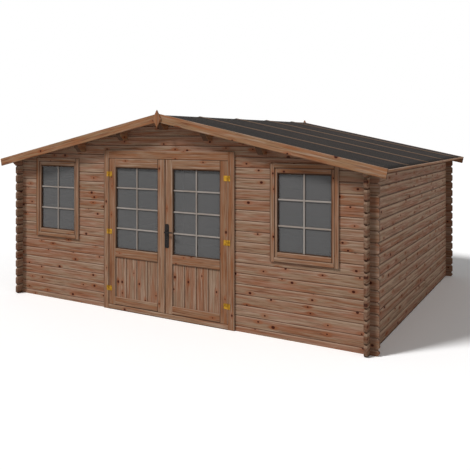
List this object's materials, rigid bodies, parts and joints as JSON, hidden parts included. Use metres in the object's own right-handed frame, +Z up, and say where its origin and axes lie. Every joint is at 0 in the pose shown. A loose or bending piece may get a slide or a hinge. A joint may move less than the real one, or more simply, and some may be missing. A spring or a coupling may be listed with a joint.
{
  "type": "wooden garden house",
  "caption": "Log garden house with interlocking corners, low felt roof on purlins, glazed double door that opens outward and a fixed window on each side.",
  "frame": {"origin": "ground level in the middle of the plan, on the underside of the middle floor bearer", "axes": "+Z up, front with the double door faces -Y, +X to the right seen from the front"},
  "size_m": [5.4556, 4.4222, 2.4909],
  "materials": {
    "log_wood": "brown stained pine",
    "roof_wood": "brown stained pine",
    "trim_wood": "brown stained pine",
    "floor_wood": "planed pine",
    "joinery_wood": "brown stained pine",
    "roof_felt": "mineral felt",
    "pane_glass": "clear",
    "hinge_brass": "satin",
    "black_iron": "black painted"
  },
  "bodies": {
    "house": {"back_finial": "trim_wood", "back_left_fascia": "trim_wood", "back_right_fascia": "trim_wood", "back_wall": "log_wood", "door_frame": "joinery_wood", "door_threshold": "joinery_wood", "floor": "floor_wood", "floor_bearers": "floor_wood", "front_finial": "trim_wood", "front_gable": "log_wood", "front_left_fascia": "trim_wood", "front_right_fascia": "trim_wood", "front_wall_left": "log_wood", "front_wall_right": "log_wood", "left_eave_log": "log_wood", "left_eave_strip": "trim_wood", "left_inner_purlin": "roof_wood", "left_outer_purlin": "roof_wood", "left_roof_boards": "roof_wood", "left_roof_felt": "roof_felt", "left_wall": "log_wood", "left_window_frame": "joinery_wood", "left_window_glass": "pane_glass", "left_window_sash": "joinery_wood", "post_hinges": "hinge_brass", "ridge_purlin": "roof_wood", "right_eave_log": "log_wood", "right_eave_strip": "trim_wood", "right_inner_purlin": "roof_wood", "right_outer_purlin": "roof_wood", "right_roof_boards": "roof_wood", "right_roof_felt": "roof_felt", "right_wall": "log_wood", "right_window_frame": "joinery_wood", "right_window_glass": "pane_glass", "right_window_sash": "joinery_wood"},
    "left_door": {"left_door_frame": "joinery_wood", "left_door_panel": "joinery_wood", "left_door_glass": "pane_glass", "left_door_hinges": "hinge_brass"},
    "right_door": {"right_door_frame": "joinery_wood", "right_door_panel": "joinery_wood", "right_door_glass": "pane_glass", "right_door_hinges": "hinge_brass", "lock_plates": "black_iron"},
    "door_lever": {"outside_lever": "black_iron", "inside_lever": "black_iron"}
  },
  "joints": [
    {"name": "left_door_swing", "type": "hinge", "parent": "house", "child": "left_door", "pos_m": [-0.8755, -2.027, 0.98], "axis": [0, 0, -1], "range_deg": [0, 150]},
    {"name": "right_door_swing", "type": "hinge", "parent": "house", "child": "right_door", "pos_m": [0.8755, -2.027, 0.98], "axis": [0, 0, 1], "range_deg": [0, 150]},
    {"name": "lever_turn", "type": "hinge", "parent": "right_door", "child": "door_lever", "pos_m": [0.034, -2, 1.04], "axis": [0, 1, 0], "range_deg": [0, 40], "stiffness_Nm_per_rad": 1.2, "springref_deg": -20.05}
  ]
}
